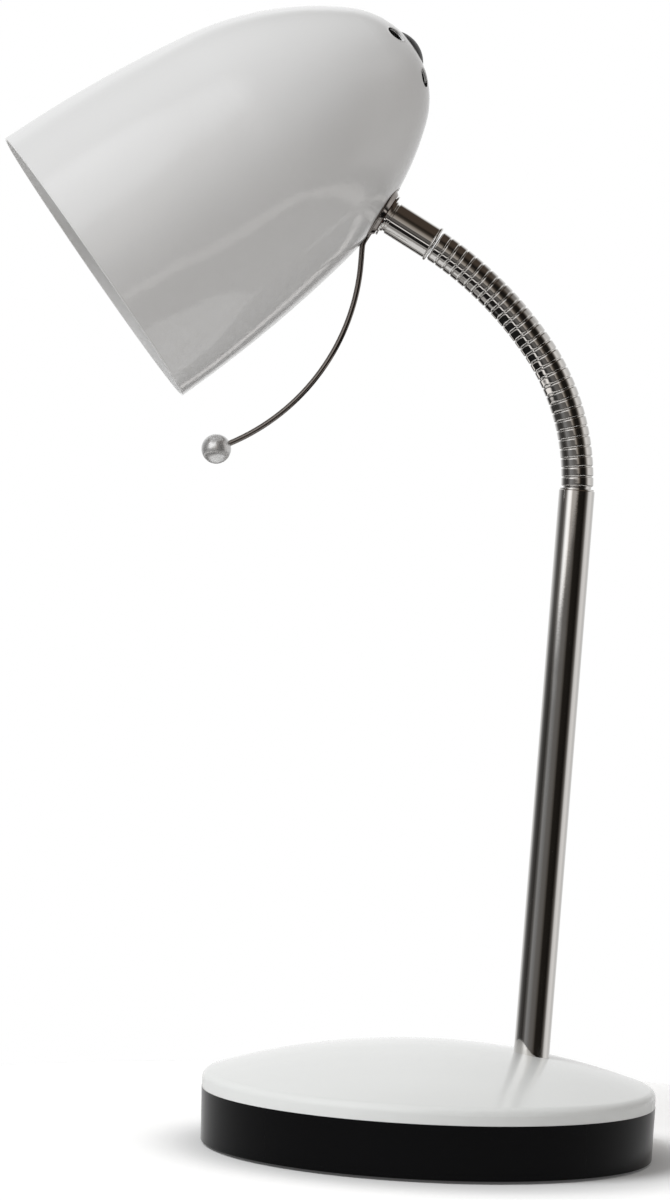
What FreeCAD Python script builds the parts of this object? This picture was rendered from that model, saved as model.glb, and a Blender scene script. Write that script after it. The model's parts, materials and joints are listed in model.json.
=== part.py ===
import FreeCAD, Part
import math
import os

from FreeCAD import Placement, Rotation, Vector

# Desk lamp: a round weighted base, a straight stem, a gooseneck and a bullet-shaped metal shade.
# Millimetres and degrees. The origin is the middle of the base, on the surface the lamp stands on.
# +Z is up. The shade hangs over -X, the stem stands at +X, and the neck bends in the XZ plane.

# Fits
running_fit = 0.06  # radial play of a part that turns on another
slip_fit = 0.1  # radial play of a part that is pushed in and stays
bearing_gap = 0.05  # between flat faces that turn on each other
free_gap = 0.3  # space between parts that only pass each other

# Cover: the white pressed dome, which sets the size of the base
cover_radius = 80.2
cover_height = 18.6
cover_side = 3.2
cover_edge_radius = 3.0
cover_wall = 1.5

# Plinth: the black tray that closes the base from below
plinth_height = 18.6
plinth_step = 0.1  # how far the plinth's top stands out past the cover
plinth_draft = 0.5  # how much smaller the foot is than the top
plinth_floor = 3.0
plinth_lip = 3.0  # upstand that centres the cover
plinth_lip_wall = 1.6
ballast_pad_height = 1.0
ballast_pad_radius = 9.0

# Base pad: the rubber ring that the lamp stands on
pad_margin = 9.8  # from the plinth's foot in to the pad
pad_width = 9.0
pad_stand = 0.8  # how far the pad stands below the plinth
pad_recess = 0.9

# Ballast
ballast_thickness = 9.0
ballast_edge = 1.5
ballast_rim = 10.0  # from the screws out to the ballast's edge
ballast_boss_radius = 11.0
ballast_screw_count = 3
ballast_screw_radius = 2.0
ballast_screw_depth = 7.0
screw_margin = 7.0  # from the pad in to the screws' heads
screw_head_radius = 4.0
screw_head_height = 1.8

# Stem
stem_offset = 34.65  # from the middle of the base to the stem, on the underside of the plinth
stem_lean = 2.0  # away from the shade
stem_radius = 6.35
stem_wall = 1.2
stem_top = 235.7  # distance along the stem from the surface the lamp stands on
stem_stud_radius = 5.0
stem_stud_bore = 3.2
stem_stud_grip = 14.0  # length of the stud inside the tube
stud_nut_height = 5.0
stud_nut_flats = 15.0
lock_washer_radius = 9.0
lock_washer_thickness = 1.2
nut_pocket_radius = 10.5
stud_tail = 1.5  # thread beyond a tightened nut

# Gooseneck
neck_radius = 5.7
neck_ridge_pitch = 3.45
neck_ridges_per_link = 2
neck_link_count = 15
neck_groove_depth = 1.35
neck_groove_half_width = 0.45
neck_flank = 0.6  # width of a ridge's sloping side
neck_ball_inset = 0.25  # ball below the floor of the grooves
neck_bore = 2.4
neck_lower_kink = 4.8  # turn at each of the lower joints, at rest
neck_upper_kink = 2.99
neck_root_grip = 12.0
neck_root_shoulder = 0.8

# Collar between the neck and the shade
collar_radius = 6.0
collar_length = 19.5
collar_bead_width = 1.2
collar_throat_depth = 0.5
collar_throat_width = 1.1
collar_throat_offset = 0.6

# Swivel between the collar and the shade
swivel_stud_radius = 5.0
swivel_stud_bore = 3.4
swivel_stud_grip = 9.0
swivel_rest = -2.2  # turn of the shade about the collar at rest, towards the front
swivel_disc_radius = 7.85
swivel_disc_thickness = 0.6
fibre_washer_radius = 6.6
fibre_washer_thickness = 0.2
cup_rim_radius = 10.0
cup_face_radius = 8.3
cup_rim_height = 0.7
cup_wall = 0.8
cup_round = 0.6

# Handle: a wire with an eye round the swivel stud, and a ball on its end
wire_radius = 1.0
wire_eye_radius = 6.4
wire_root_length = 11.9  # from the stud's axis to the first bend
wire_root_bend_radius = 5.0
wire_root_bend = 27.6
wire_straight = 5.8
wire_bend_radius = 76.0
wire_bend = 62.5
wire_end_straight = 3.5
wire_tip_depth = 3.5
handle_ball_radius = 5.25

# Shade, drawn from its mouth up
shade_mouth_radius = 54.9
shade_wall = 0.9
shade_rim_band = 6.6
shade_rim_taper = 1.2
shade_barrel_radius = 473.0
shade_barrel_end = 9.35  # slope of the wall where the barrel meets the shoulder
shade_shoulder_radius = 110.0
shade_shoulder_end = 39.6
shade_neck_height = 95.2  # from the mouth to the neck, along the axis
seat_slope = 22.9  # of the neck to the plane of the mouth
seat_depth = 1.9  # the wall is pressed in and flat under the cup
seat_radius = 10.4
seat_channel_length = 15.0  # for the handle's wire, from the middle of the seat
seat_channel_width = 2.8
vent_radius = 3.5
vent_circle = 15.5
vent_count = 5
vent_first_angle = 33.0
crown_hole_radius = 5.0
crown_plug_radius = 7.7
crown_plug_rise = 0.75
crown_plug_depth = 4.0
crown_plug_barb = 0.5

# Lampholder and its bracket, inside the shade
packing_washer_radius = 9.0
packing_washer_thickness = 1.0
bracket_thickness = 1.2
bracket_width = 15.0
bracket_seat_reach = 11.5
bracket_drop = 22.8  # from the shade's crown to the lampholder's seat
bracket_overhang = 8.5
holder_stud_radius = 4.9
holder_stud_bore = 3.2
holder_nut_height = 3.5
holder_nut_flats = 14.0
holder_cap_radius = 13.0
holder_cap_height = 12.0
holder_body_radius = 13.5
holder_body_height = 24.0
holder_mouth_radius = 11.0
holder_mouth_band = 7.0
holder_floor = 3.0
sleeve_bore = 7.2
sleeve_wall = 0.5
contact_radius = 2.6
contact_thickness = 0.6
contact_height = 2.4

# Bulb
bulb_cap_radius = 6.9
bulb_cap_length = 19.0
bulb_cap_rib_pitch = 3.0
bulb_cap_rib_depth = 0.45
bulb_tip_radius = 3.2
bulb_tip_height = 2.2
bulb_radius = 22.5
bulb_neck_radius = 8.6
bulb_blend_radius = 9.0
bulb_stem_length = 8.0  # of the glass inside the cap
bulb_reach = 53.0  # glass outside the cap
bulb_wall = 1.0

# Cord inlet: an open bush in the back of the plinth, and the clamp behind it
inlet_angle = 55.0
inlet_height = 9.6
inlet_bore = 3.1
inlet_bush_radius = 4.4
inlet_flange_radius = 6.2
inlet_flange_thickness = 1.5

Z_AXIS = Vector(0, 0, 1)
Y_AXIS = Vector(0, 1, 0)


# ---------------------------------------------------------------------------------------------- tools


class Outline:
    """A closed outline in the plane of radius and height, turned round the Z axis into a solid."""

    def __init__(self, radius, height):
        self.first = Vector(radius, 0, height)
        self.last = self.first
        self.edges = []

    def to(self, radius, height):
        """A straight edge to a point."""
        point = Vector(radius, 0, height)
        if point.distanceToPoint(self.last) > 1e-6:
            self.edges.append(Part.makeLine(self.last, point))
            self.last = point
        return self

    def around(self, centre, radius, start, end):
        """An arc about a centre, from one angle to another, measured from the radius towards the height."""
        self.to(*on_circle(centre, radius, start))
        middle = on_circle(centre, radius, (start + end) / 2)
        finish = on_circle(centre, radius, end)
        points = [self.last, Vector(middle[0], 0, middle[1]), Vector(finish[0], 0, finish[1])]
        self.edges.append(Part.Arc(*points).toShape())
        self.last = points[2]
        return self

    def turned(self):
        """The solid of revolution."""
        self.to(self.first.x, self.first.z)
        return Part.Face(Part.Wire(self.edges)).revolve(Vector(0, 0, 0), Z_AXIS, 360)


def on_circle(centre, radius, angle):
    """A point of a circle in the plane of radius and height."""
    turn = math.radians(angle)
    return (centre[0] + radius * math.cos(turn), centre[1] + radius * math.sin(turn))


def rod(radius, low, high):
    """A cylinder on the Z axis between two heights."""
    return Part.makeCylinder(radius, high - low, Vector(0, 0, low))


def ring(inner, outer, low, high):
    """A flat ring on the Z axis between two heights."""
    return rod(outer, low, high).cut(rod(inner, low - 1, high + 1))


def hexagon(across_flats, low, high):
    """A hexagonal bar on the Z axis, its corners taken off at both ends as a nut's are."""
    corner = across_flats / math.sqrt(3)
    points = [Vector(*on_circle((0, 0), corner, 60 * i), low) for i in range(7)]
    bar = Part.Face(Part.makePolygon(points)).extrude(Vector(0, 0, high - low))
    flat = across_flats / 2
    chamfer = (corner - flat) / math.sqrt(3)
    dressed = (
        Outline(0, low)
        .to(flat, low)
        .to(corner, low + chamfer)
        .to(corner, high - chamfer)
        .to(flat, high)
        .to(0, high)
    )
    return bar.common(dressed.turned())


def nut(across_flats, bore, low, high):
    """A hexagonal nut on the Z axis."""
    return hexagon(across_flats, low, high).cut(rod(bore, low - 1, high + 1))


def placed(shape, placement):
    """A copy of a shape carried into another frame."""
    moved = shape.copy()
    moved.Placement = placement.multiply(moved.Placement)
    return moved


def shift(x, y, z):
    """A placement that only moves."""
    return Placement(Vector(x, y, z), Rotation())


def tilt(angle):
    """A placement that only turns about Y."""
    return Placement(Vector(0, 0, 0), Rotation(Y_AXIS, angle))


def spin(angle):
    """A placement that only turns about Z."""
    return Placement(Vector(0, 0, 0), Rotation(Z_AXIS, angle))


def around_z(shape, count, radius, first_angle=0.0):
    """Copies of a shape spaced evenly on a circle about Z."""
    step = 360 / count
    return [placed(shape, spin(first_angle + step * i).multiply(shift(radius, 0, 0))) for i in range(count)]


# ------------------------------------------------------------------------------------------ base sizes

plinth_low = pad_stand
plinth_top_radius = cover_radius + plinth_step
plinth_foot_radius = plinth_top_radius - plinth_draft
pad_radius = plinth_foot_radius - pad_margin
ballast_screw_circle = pad_radius - pad_width - screw_margin - screw_head_radius
ballast_radius = ballast_screw_circle + ballast_rim
floor_top = plinth_low + plinth_floor
plinth_top = plinth_low + plinth_height
ballast_low = floor_top + ballast_pad_height
ballast_top = ballast_low + ballast_thickness
cover_crown = plinth_top + cover_height
stem_bore = stem_radius - stem_wall
plinth_lip_radius = cover_radius - cover_wall - free_gap
plinth_inner_radius = plinth_lip_radius - plinth_lip_wall
screw_first_angle = 180.0


def cover_form(offset, low=plinth_top):
    """The solid under the cover's surface, or under a surface a little inside it, down to a height."""
    run = cover_radius - cover_edge_radius
    rise = cover_height - cover_side
    crown = (run**2 + rise**2 - cover_edge_radius**2) / (2 * (rise - cover_edge_radius))
    crown_centre = (0, cover_crown - crown)
    edge_centre = (run, plinth_top + cover_side)
    meeting = math.degrees(math.atan2(edge_centre[1] - crown_centre[1], run))
    outline = Outline(0, low).to(cover_radius - offset, low)
    outline.around(edge_centre, cover_edge_radius - offset, 0, meeting)
    outline.around(crown_centre, crown - offset, meeting, 90)
    return outline.turned()


def stem_frame():
    """The frame of the stem's axis, its origin level with the surface the lamp stands on."""
    return shift(stem_offset, 0, 0).multiply(tilt(stem_lean))


def stem_landing():
    """The height along the stem's axis at which it leaves the cover."""
    core = placed(rod(stem_radius, 0, stem_top), stem_frame()).common(cover_form(0))
    return placed(core, stem_frame().inverse()).BoundBox.ZMax


# ----------------------------------------------------------------------------------------------- base


def base_cover():
    """The pressed dome, with the hole that the stem's stud goes through."""
    shell = cover_form(0).cut(cover_form(cover_wall))
    hole = placed(rod(stem_stud_radius + slip_fit, 0, stem_top), stem_frame())
    return shell.cut(hole)


def inlet_frame(distance):
    """The frame of the cord inlet's axis, Z pointing out of the base."""
    out = Placement(Vector(distance, 0, inlet_height), Rotation(Y_AXIS, 90))
    return spin(inlet_angle).multiply(out)


def plinth():
    """The tray: a drafted wall with a lip, and a floor with pads and recesses."""
    tray = (
        Outline(0, plinth_low)
        .to(plinth_foot_radius, plinth_low)
        .to(plinth_top_radius, plinth_top)
        .to(plinth_lip_radius, plinth_top)
        .to(plinth_lip_radius, plinth_top + plinth_lip)
        .to(plinth_inner_radius, plinth_top + plinth_lip)
        .to(plinth_inner_radius, floor_top)
        .to(0, floor_top)
        .turned()
    )
    pads = around_z(
        rod(ballast_pad_radius, floor_top, ballast_low), ballast_screw_count, ballast_screw_circle, screw_first_angle
    )
    recess = ring(pad_radius - pad_width - slip_fit, pad_radius + slip_fit, 0, plinth_low + pad_recess)
    screw_holes = around_z(
        rod(ballast_screw_radius + slip_fit, 0, ballast_low + 1),
        ballast_screw_count,
        ballast_screw_circle,
        screw_first_angle,
    )
    head_holes = around_z(
        rod(screw_head_radius + free_gap, 0, plinth_low + screw_head_height),
        ballast_screw_count,
        ballast_screw_circle,
        screw_first_angle,
    )
    inlet = placed(rod(inlet_bush_radius, -2 * plinth_lip_wall - 2, 2), inlet_frame(inlet_distance()))
    return tray.fuse(pads).removeSplitter().cut(screw_holes + head_holes + [recess, inlet])


def inlet_distance():
    """The plinth's outer radius where the top of the inlet's flange touches it."""
    share = (inlet_height + inlet_flange_radius - plinth_low) / plinth_height
    return plinth_foot_radius + (plinth_top_radius - plinth_foot_radius) * share


def base_pad():
    """The rubber ring, stuck in its recess, its lower edges bevelled."""
    bevel = pad_stand / 2
    inner = pad_radius - pad_width
    return (
        Outline(inner + bevel, 0)
        .to(pad_radius - bevel, 0)
        .to(pad_radius, bevel)
        .to(pad_radius, pad_stand + pad_recess)
        .to(inner, pad_stand + pad_recess)
        .to(inner, bevel)
        .turned()
    )


def ballast():
    """The cast weight: a disc with a boss that carries the cover where the stem's nut pulls it down."""
    disc = (
        Outline(0, ballast_low)
        .to(ballast_radius, ballast_low)
        .to(ballast_radius, ballast_top - ballast_edge)
        .to(ballast_radius - ballast_edge, ballast_top)
        .to(0, ballast_top)
        .turned()
    )
    middle = (ballast_top + ballast_low) / 2
    boss = placed(rod(ballast_boss_radius, 0, stem_top), stem_frame()).common(cover_form(cover_wall, middle))
    pocket = placed(rod(nut_pocket_radius, 0, nut_seat()), stem_frame())
    stud_hole = placed(rod(stem_stud_radius + slip_fit, 0, stem_top), stem_frame())
    taps = around_z(
        rod(ballast_screw_radius, ballast_low - 1, ballast_low + ballast_screw_depth),
        ballast_screw_count,
        ballast_screw_circle,
        screw_first_angle,
    )
    return disc.fuse(boss).removeSplitter().cut([pocket, stud_hole] + taps)


def nut_seat():
    """The height along the stem at which the lock washer bears on the ballast, inside its pocket."""
    return ballast_low + lock_washer_thickness + stud_nut_height + stud_tail + free_gap


def base_screws():
    """The screws that hold the plinth to the ballast."""
    seat = plinth_low + screw_head_height
    screw = (
        Outline(0, seat - screw_head_height + free_gap)
        .to(screw_head_radius - screw_head_height / 3, seat - screw_head_height + free_gap)
        .to(screw_head_radius, seat - screw_head_height / 3)
        .to(screw_head_radius, seat)
        .to(ballast_screw_radius, seat)
        .to(ballast_screw_radius, ballast_low + ballast_screw_depth - 1)
        .to(0, ballast_low + ballast_screw_depth)
        .turned()
    )
    slot = Part.makeBox(2 * screw_head_radius, 1, 1, Vector(-screw_head_radius, -0.5, seat - screw_head_height - 0.2))
    return Part.makeCompound(
        around_z(screw.cut(slot), ballast_screw_count, ballast_screw_circle, screw_first_angle)
    )


def stem_stud():
    """The hollow threaded stud in the foot of the stem."""
    low = nut_seat() - lock_washer_thickness - stud_nut_height - stud_tail
    tube = ring(stem_stud_bore, stem_stud_radius, low, stem_landing() + stem_stud_grip)
    return placed(tube, stem_frame())


def stem_washer():
    """The washer under the ballast."""
    seat = nut_seat()
    washer = ring(stem_stud_radius + slip_fit, lock_washer_radius, seat - lock_washer_thickness, seat)
    return placed(washer, stem_frame())


def stem_nut():
    """The nut that pulls the stem down on the cover and the ballast."""
    high = nut_seat() - lock_washer_thickness
    return placed(nut(stud_nut_flats, stem_stud_radius, high - stud_nut_height, high), stem_frame())


def stem_tube():
    """The plated tube, its foot cut to the slope of the cover and its top edge slightly broken."""
    tube = (
        Outline(stem_bore, plinth_top + plinth_lip)
        .to(stem_radius, plinth_top + plinth_lip)
        .to(stem_radius, stem_top - stem_wall / 4)
        .to(stem_radius - stem_wall / 4, stem_top)
        .to(stem_bore, stem_top)
        .turned()
    )
    tapped = rod(stem_radius - stem_wall / 4, plinth_top + plinth_lip, stem_landing() + stem_stud_grip)
    tube = tube.fuse(tapped).removeSplitter().cut(rod(stem_stud_radius, 0, stem_landing() + stem_stud_grip))
    return placed(tube, stem_frame()).cut(cover_form(0))


def cord_inlet():
    """The snap-in bush that the mains lead enters by: a flange on each side of the plinth's wall."""
    outside = inlet_distance()
    wall = outside - math.sqrt(plinth_inner_radius**2 - inlet_flange_radius**2) + slip_fit
    bush = (
        Outline(inlet_bore, slip_fit + inlet_flange_thickness)
        .to(inlet_bore, -wall - inlet_flange_thickness)
        .to(inlet_bush_radius + 0.4, -wall - inlet_flange_thickness)
        .to(inlet_flange_radius - 0.4, -wall)
        .to(inlet_bush_radius, -wall)
        .to(inlet_bush_radius, slip_fit)
        .to(inlet_flange_radius, slip_fit)
        .to(inlet_flange_radius - 0.4, slip_fit + inlet_flange_thickness)
        .turned()
    )
    return placed(bush, inlet_frame(outside))


# ------------------------------------------------------------------------------------------- gooseneck

neck_pitch = neck_ridge_pitch * neck_ridges_per_link
neck_groove_radius = neck_radius - neck_groove_depth
neck_ball_radius = neck_groove_radius - neck_ball_inset
neck_socket_radius = neck_ball_radius + running_fit
neck_joint_count = neck_link_count + 1


def neck_kink(index):
    """The turn at a joint of the gooseneck at rest: tighter over the lower half."""
    return neck_lower_kink if index < neck_joint_count / 2 else neck_upper_kink


def neck_frames():
    """The frames above each joint of the gooseneck: one for each link, and the last for the collar."""
    height = stem_top + neck_root_shoulder + neck_groove_half_width
    frame = stem_frame().multiply(shift(0, 0, height))
    frames = []
    for index in range(neck_joint_count):
        frame = frame.multiply(tilt(-neck_kink(index)))
        frames.append(frame)
        frame = frame.multiply(shift(0, 0, neck_pitch))
    return frames


def ball_start(radius):
    """The angle on a ball of a joint at which the parts beside the groove begin."""
    return math.degrees(math.asin(neck_groove_half_width / radius))


def add_ball(outline, height):
    """The ball on top of a part, round to the bore."""
    start = -ball_start(neck_ball_radius)
    end = math.degrees(math.acos(neck_bore / neck_ball_radius))
    return outline.around((0, height), neck_ball_radius, start, end)


def add_socket(outline):
    """The socket in the bottom of a part, from the bore out to its rim."""
    start = math.degrees(math.acos(neck_bore / neck_socket_radius))
    return outline.around((0, 0), neck_socket_radius, start, ball_start(neck_socket_radius))


def neck_link():
    """A link of the gooseneck: ridges outside, a ball on top, a socket beneath, and a bore for the leads."""
    outline = add_socket(Outline(neck_bore, neck_pitch))
    for index in range(neck_ridges_per_link):
        low = neck_ridge_pitch * index + neck_groove_half_width
        high = neck_ridge_pitch * (index + 1) - neck_groove_half_width
        outline.to(neck_groove_radius, low).to(neck_radius, low + neck_flank)
        outline.to(neck_radius, high - neck_flank).to(neck_groove_radius, high)
    return add_ball(outline, neck_pitch).turned()


def neck_root():
    """The plug in the top of the stem that carries the first ball."""
    shoulder = -neck_groove_half_width - neck_root_shoulder
    outline = (
        Outline(neck_bore, shoulder - neck_root_grip)
        .to(stem_bore, shoulder - neck_root_grip)
        .to(stem_bore, shoulder)
        .to(stem_radius - stem_wall / 4, shoulder)
        .to(stem_radius - stem_wall / 4, shoulder + neck_root_shoulder / 2)
        .to(neck_groove_radius, -neck_groove_half_width)
    )
    root = add_ball(outline, 0).turned()
    first_joint = stem_frame().multiply(shift(0, 0, stem_top + neck_root_shoulder + neck_groove_half_width))
    return placed(root, first_joint)


def neck_collar():
    """The straight ferrule at the top of the neck, with a bead at its foot and a throat under the swivel."""
    low = neck_groove_half_width
    high = collar_length
    throat = high - collar_throat_offset - collar_throat_width
    outline = Outline(swivel_stud_radius, high).to(swivel_stud_radius, high - swivel_stud_grip)
    outline.to(neck_bore, high - swivel_stud_grip)
    add_socket(outline)
    outline.to(collar_radius, low)
    outline.around((collar_radius, low + collar_bead_width / 2), collar_bead_width / 2, -90, 90)
    outline.to(collar_radius, throat)
    outline.to(collar_radius - collar_throat_depth, throat + collar_throat_depth / 2)
    outline.to(collar_radius - collar_throat_depth, throat + collar_throat_width - collar_throat_depth / 2)
    outline.to(collar_radius, throat + collar_throat_width).to(collar_radius, high)
    return outline.turned()


# ---------------------------------------------------------------------------------------------- swivel
# Parts of the swivel are drawn in the seat's frame: Z runs out of the shade along the swivel's axis,
# X points towards the shade's mouth, and the origin lies on the flat that is pressed into the wall.

cup_height = 2 * wire_radius + cup_wall
fibre_low = cup_height
disc_low = fibre_low + fibre_washer_thickness + bearing_gap
collar_low = disc_low + swivel_disc_thickness
packing_low = -shade_wall - packing_washer_thickness
bracket_low = packing_low - bracket_thickness
swivel_nut_height = 3.5
swivel_nut_flats = 14.0
swivel_nut_high = bracket_low - bearing_gap - packing_washer_thickness


def shade_cup():
    """The plated cup that seats on the shade, hollow for the eye of the handle, notched for its wire."""
    rim = cup_rim_radius
    cup = (
        Outline(swivel_stud_radius + running_fit, cup_height)
        .to(swivel_stud_radius + running_fit, cup_height - cup_wall)
        .to(cup_face_radius - cup_wall, cup_height - cup_wall)
        .to(rim - cup_wall, cup_rim_height)
        .to(rim - cup_wall, 0)
        .to(rim, 0)
        .to(rim, cup_rim_height)
        .to(cup_face_radius + cup_round / 3, cup_height - cup_round)
    )
    cup.around((cup_face_radius - cup_round, cup_height - cup_round), cup_round, 30, 90)
    notch = Part.makeBox(2 * rim, 2 * wire_radius + slip_fit, 2 * wire_radius, Vector(0, -wire_radius - slip_fit / 2, 0))
    return cup.turned().cut(notch)


def handle_path():
    """The middle line of the wire: straight out of the cup, a tight bend, then one long curve."""
    here = Vector(wire_eye_radius, 0, wire_radius)
    heading = 0.0
    edges = []

    def forward(length):
        nonlocal here
        turn = math.radians(heading)
        there = here + Vector(length * math.cos(turn), 0, length * math.sin(turn))
        edges.append(Part.makeLine(here, there))
        here = there

    def bend(radius, angle):
        nonlocal here, heading
        side = 1 if angle > 0 else -1
        turn = math.radians(heading + side * 90)
        centre = here + Vector(radius * math.cos(turn), 0, radius * math.sin(turn))
        points = []
        for share in (0.5, 1.0):
            turn = math.radians(heading + angle * share - side * 90)
            points.append(centre + Vector(radius * math.cos(turn), 0, radius * math.sin(turn)))
        edges.append(Part.Arc(here, *points).toShape())
        here = points[-1]
        heading += angle

    forward(wire_root_length - wire_eye_radius)
    bend(wire_root_bend_radius, wire_root_bend)
    forward(wire_straight)
    bend(wire_bend_radius, -wire_bend)
    forward(wire_end_straight)
    turn = math.radians(heading)
    ball_centre = here + Vector(math.cos(turn), 0, math.sin(turn)) * (handle_ball_radius - wire_tip_depth)
    return Part.Wire(edges), ball_centre


def handle_wire():
    """The handle's wire: an eye round the stud, and a round bar swept along its path."""
    path, _ = handle_path()
    start = Vector(wire_eye_radius, 0, wire_radius)
    section = Part.Wire(Part.makeCircle(wire_radius, start, Vector(1, 0, 0)))
    bar = path.makePipeShell([section], True, True)
    eye = Part.makeTorus(wire_eye_radius, wire_radius, Vector(0, 0, wire_radius))
    return eye.fuse(bar).removeSplitter()


def handle_ball():
    """The ball pressed on the end of the wire."""
    _, centre = handle_path()
    return Part.makeSphere(handle_ball_radius, centre).cut(handle_wire())


def swivel_stud():
    """The hollow threaded stud that joins the collar and the shade."""
    high = collar_low + swivel_stud_grip
    low = swivel_nut_high - swivel_nut_height - stud_tail
    return ring(swivel_stud_bore, swivel_stud_radius, low, high)


def washer(outer, low, thickness):
    """A flat washer on the swivel stud."""
    return ring(swivel_stud_radius + running_fit, outer, low, low + thickness)


# ----------------------------------------------------------------------------------------------- shade
# The shade and what it carries are drawn in the shade's own frame: the mouth lies in the XY plane, Z is
# the axis towards the crown, and the neck joins the wall on the +X side.


def shade_centres():
    """The centres of the barrel, shoulder and crown arcs, and the crown's radius."""
    rim_radius = shade_mouth_radius - shade_rim_band * math.tan(math.radians(shade_rim_taper))
    away = shade_rim_taper + 180
    barrel = on_circle((rim_radius, shade_rim_band), shade_barrel_radius, away)
    meeting = on_circle(barrel, shade_barrel_radius, shade_barrel_end)
    shoulder = on_circle(meeting, shade_shoulder_radius, shade_barrel_end + 180)
    meeting = on_circle(shoulder, shade_shoulder_radius, shade_shoulder_end)
    crown_radius = meeting[0] / math.cos(math.radians(shade_shoulder_end))
    crown = (0, meeting[1] - crown_radius * math.sin(math.radians(shade_shoulder_end)))
    return barrel, shoulder, crown, crown_radius


def shade_crown():
    """The height of the crown above the mouth."""
    _, _, crown, crown_radius = shade_centres()
    return crown[1] + crown_radius


def seat_frame():
    """The seat's frame within the shade's."""
    _, shoulder, _, _ = shade_centres()
    wall_slope = math.degrees(math.asin((shade_neck_height - shoulder[1]) / shade_shoulder_radius))
    radius, height = on_circle(shoulder, shade_shoulder_radius - seat_depth, wall_slope)
    return shift(radius, 0, height).multiply(tilt(90 - seat_slope))


def shade_form(offset):
    """The solid under the shade's surface, or under a surface inside it, with the flat of the seat."""
    barrel, shoulder, crown, crown_radius = shade_centres()
    taper = math.radians(shade_rim_taper)
    mouth = shade_mouth_radius - offset / math.cos(taper)
    outline = Outline(0, 0).to(mouth, 0)
    outline.around(barrel, shade_barrel_radius - offset, shade_rim_taper, shade_barrel_end)
    outline.around(shoulder, shade_shoulder_radius - offset, shade_barrel_end, shade_shoulder_end)
    outline.around(crown, crown_radius - offset, shade_shoulder_end, 90)
    return outline.turned().cut(placed(seat_press(offset), seat_frame()))


def seat_press(offset):
    """The shape of the tool that presses the seat and the channel for the handle's wire."""
    depth = 2 * seat_depth + offset
    width = seat_channel_width + 2 * offset
    channel = Part.makeBox(seat_channel_length + offset, width, depth, Vector(0, -width / 2, -offset))
    return rod(seat_radius + offset, -offset, depth - offset).fuse(channel).removeSplitter()


def shade():
    """The spun shell, with its seat, the stud's hole, the crown's hole and the ring of vents."""
    shell = shade_form(0).cut(shade_form(shade_wall))
    stud_hole = placed(rod(swivel_stud_radius + running_fit, -10, 10), seat_frame())
    top = shade_crown()
    crown_hole = rod(crown_hole_radius, top - 10, top + 10)
    vents = around_z(rod(vent_radius, top - 20, top + 10), vent_count, vent_circle, vent_first_angle)
    return shell.cut([stud_hole, crown_hole] + vents)


def crown_plug():
    """The black plug that closes the crown's hole: a low domed head and a barbed shank."""
    top = shade_crown()
    shank = crown_hole_radius - slip_fit
    _, _, crown, crown_radius = shade_centres()
    edge_angle = math.degrees(math.acos(crown_plug_radius / crown_radius))
    edge_height = on_circle(crown, crown_radius, edge_angle)[1]
    rise = top + crown_plug_rise - edge_height
    dome = (crown_plug_radius**2 + rise**2) / (2 * rise)
    centre = (0, edge_height + rise - dome)
    start = math.degrees(math.asin((edge_height - centre[1]) / dome))
    head = Outline(0, edge_height - 1).to(crown_plug_radius, edge_height - 1)
    head = head.around(centre, dome, start, 90).turned().cut(shade_form(0))
    inside = top - shade_wall - slip_fit
    barb = shank + crown_plug_barb
    body = (
        Outline(shank - 1, top - crown_plug_depth)
        .to(shank - 1, top)
        .to(0, top)
        .to(0, top + crown_plug_rise / 2)
        .to(shank, top + crown_plug_rise / 2)
        .to(shank, inside - barb_drop())
        .to(barb, inside - barb_drop() - crown_plug_barb)
        .to(shank, top - crown_plug_depth)
        .turned()
    )
    return head.fuse(body.common(rod(barb, top - crown_plug_depth, top + crown_plug_rise / 2))).removeSplitter()


def barb_drop():
    """How far the crown's inner wall falls between its middle and the plug's barb."""
    _, _, _, crown_radius = shade_centres()
    inner = crown_radius - shade_wall
    reach = crown_hole_radius + crown_plug_barb
    return inner - math.sqrt(inner**2 - reach**2)


# ----------------------------------------------------------------------------------- lampholder and bulb


def holder_seat():
    """The height of the bracket's flat that carries the lampholder."""
    return shade_crown() - bracket_drop


def holder_bracket():
    """The bent steel strip clamped on the swivel stud, which holds the lampholder on the shade's axis."""
    frame = seat_frame()
    heel = frame.multVec(Vector(packing_washer_radius, 0, bracket_low))
    knee = frame.multVec(Vector(-bracket_seat_reach, 0, bracket_low))
    ankle = Vector(holder_cap_radius, 0, holder_seat())
    toe = Vector(-bracket_overhang, 0, holder_seat())
    path = [heel, knee, ankle, toe]
    strip = thick_strip(path)
    stud_hole = placed(rod(swivel_stud_radius + running_fit, bracket_low - 1, packing_low + 1), frame)
    holder_hole = rod(holder_stud_radius + slip_fit, holder_seat() - 2, holder_seat() + 2 * bracket_thickness)
    return strip.cut([stud_hole, holder_hole])


def thick_strip(path):
    """A strip bent along a path in the XZ plane, its thickness laid on the crown's side of the path."""
    outer = []
    for index, point in enumerate(path):
        before = (point - path[index - 1]).normalize() if index else None
        after = (path[index + 1] - point).normalize() if index + 1 < len(path) else None
        before = before or after
        after = after or before
        sides = [Vector(way.z, 0, -way.x) for way in (before, after)]
        side = (sides[0] + sides[1]).normalize()
        outer.append(point + side * (bracket_thickness / side.dot(sides[0])))
    points = path + outer[::-1] + path[:1]
    face = Part.Face(Part.makePolygon([Vector(p.x, -bracket_width / 2, p.z) for p in points]))
    return face.extrude(Vector(0, bracket_width, 0))


def holder_stud():
    """The hollow stud that joins the lampholder to its bracket."""
    seat = holder_seat()
    top = seat + bracket_thickness + holder_nut_height + stud_tail
    return ring(holder_stud_bore, holder_stud_radius, seat - holder_cap_height / 2, top)


def holder_nut():
    """The nut on the holder's stud, above the bracket."""
    low = holder_seat() + bracket_thickness
    return nut(holder_nut_flats, holder_stud_radius, low, low + holder_nut_height)


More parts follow.
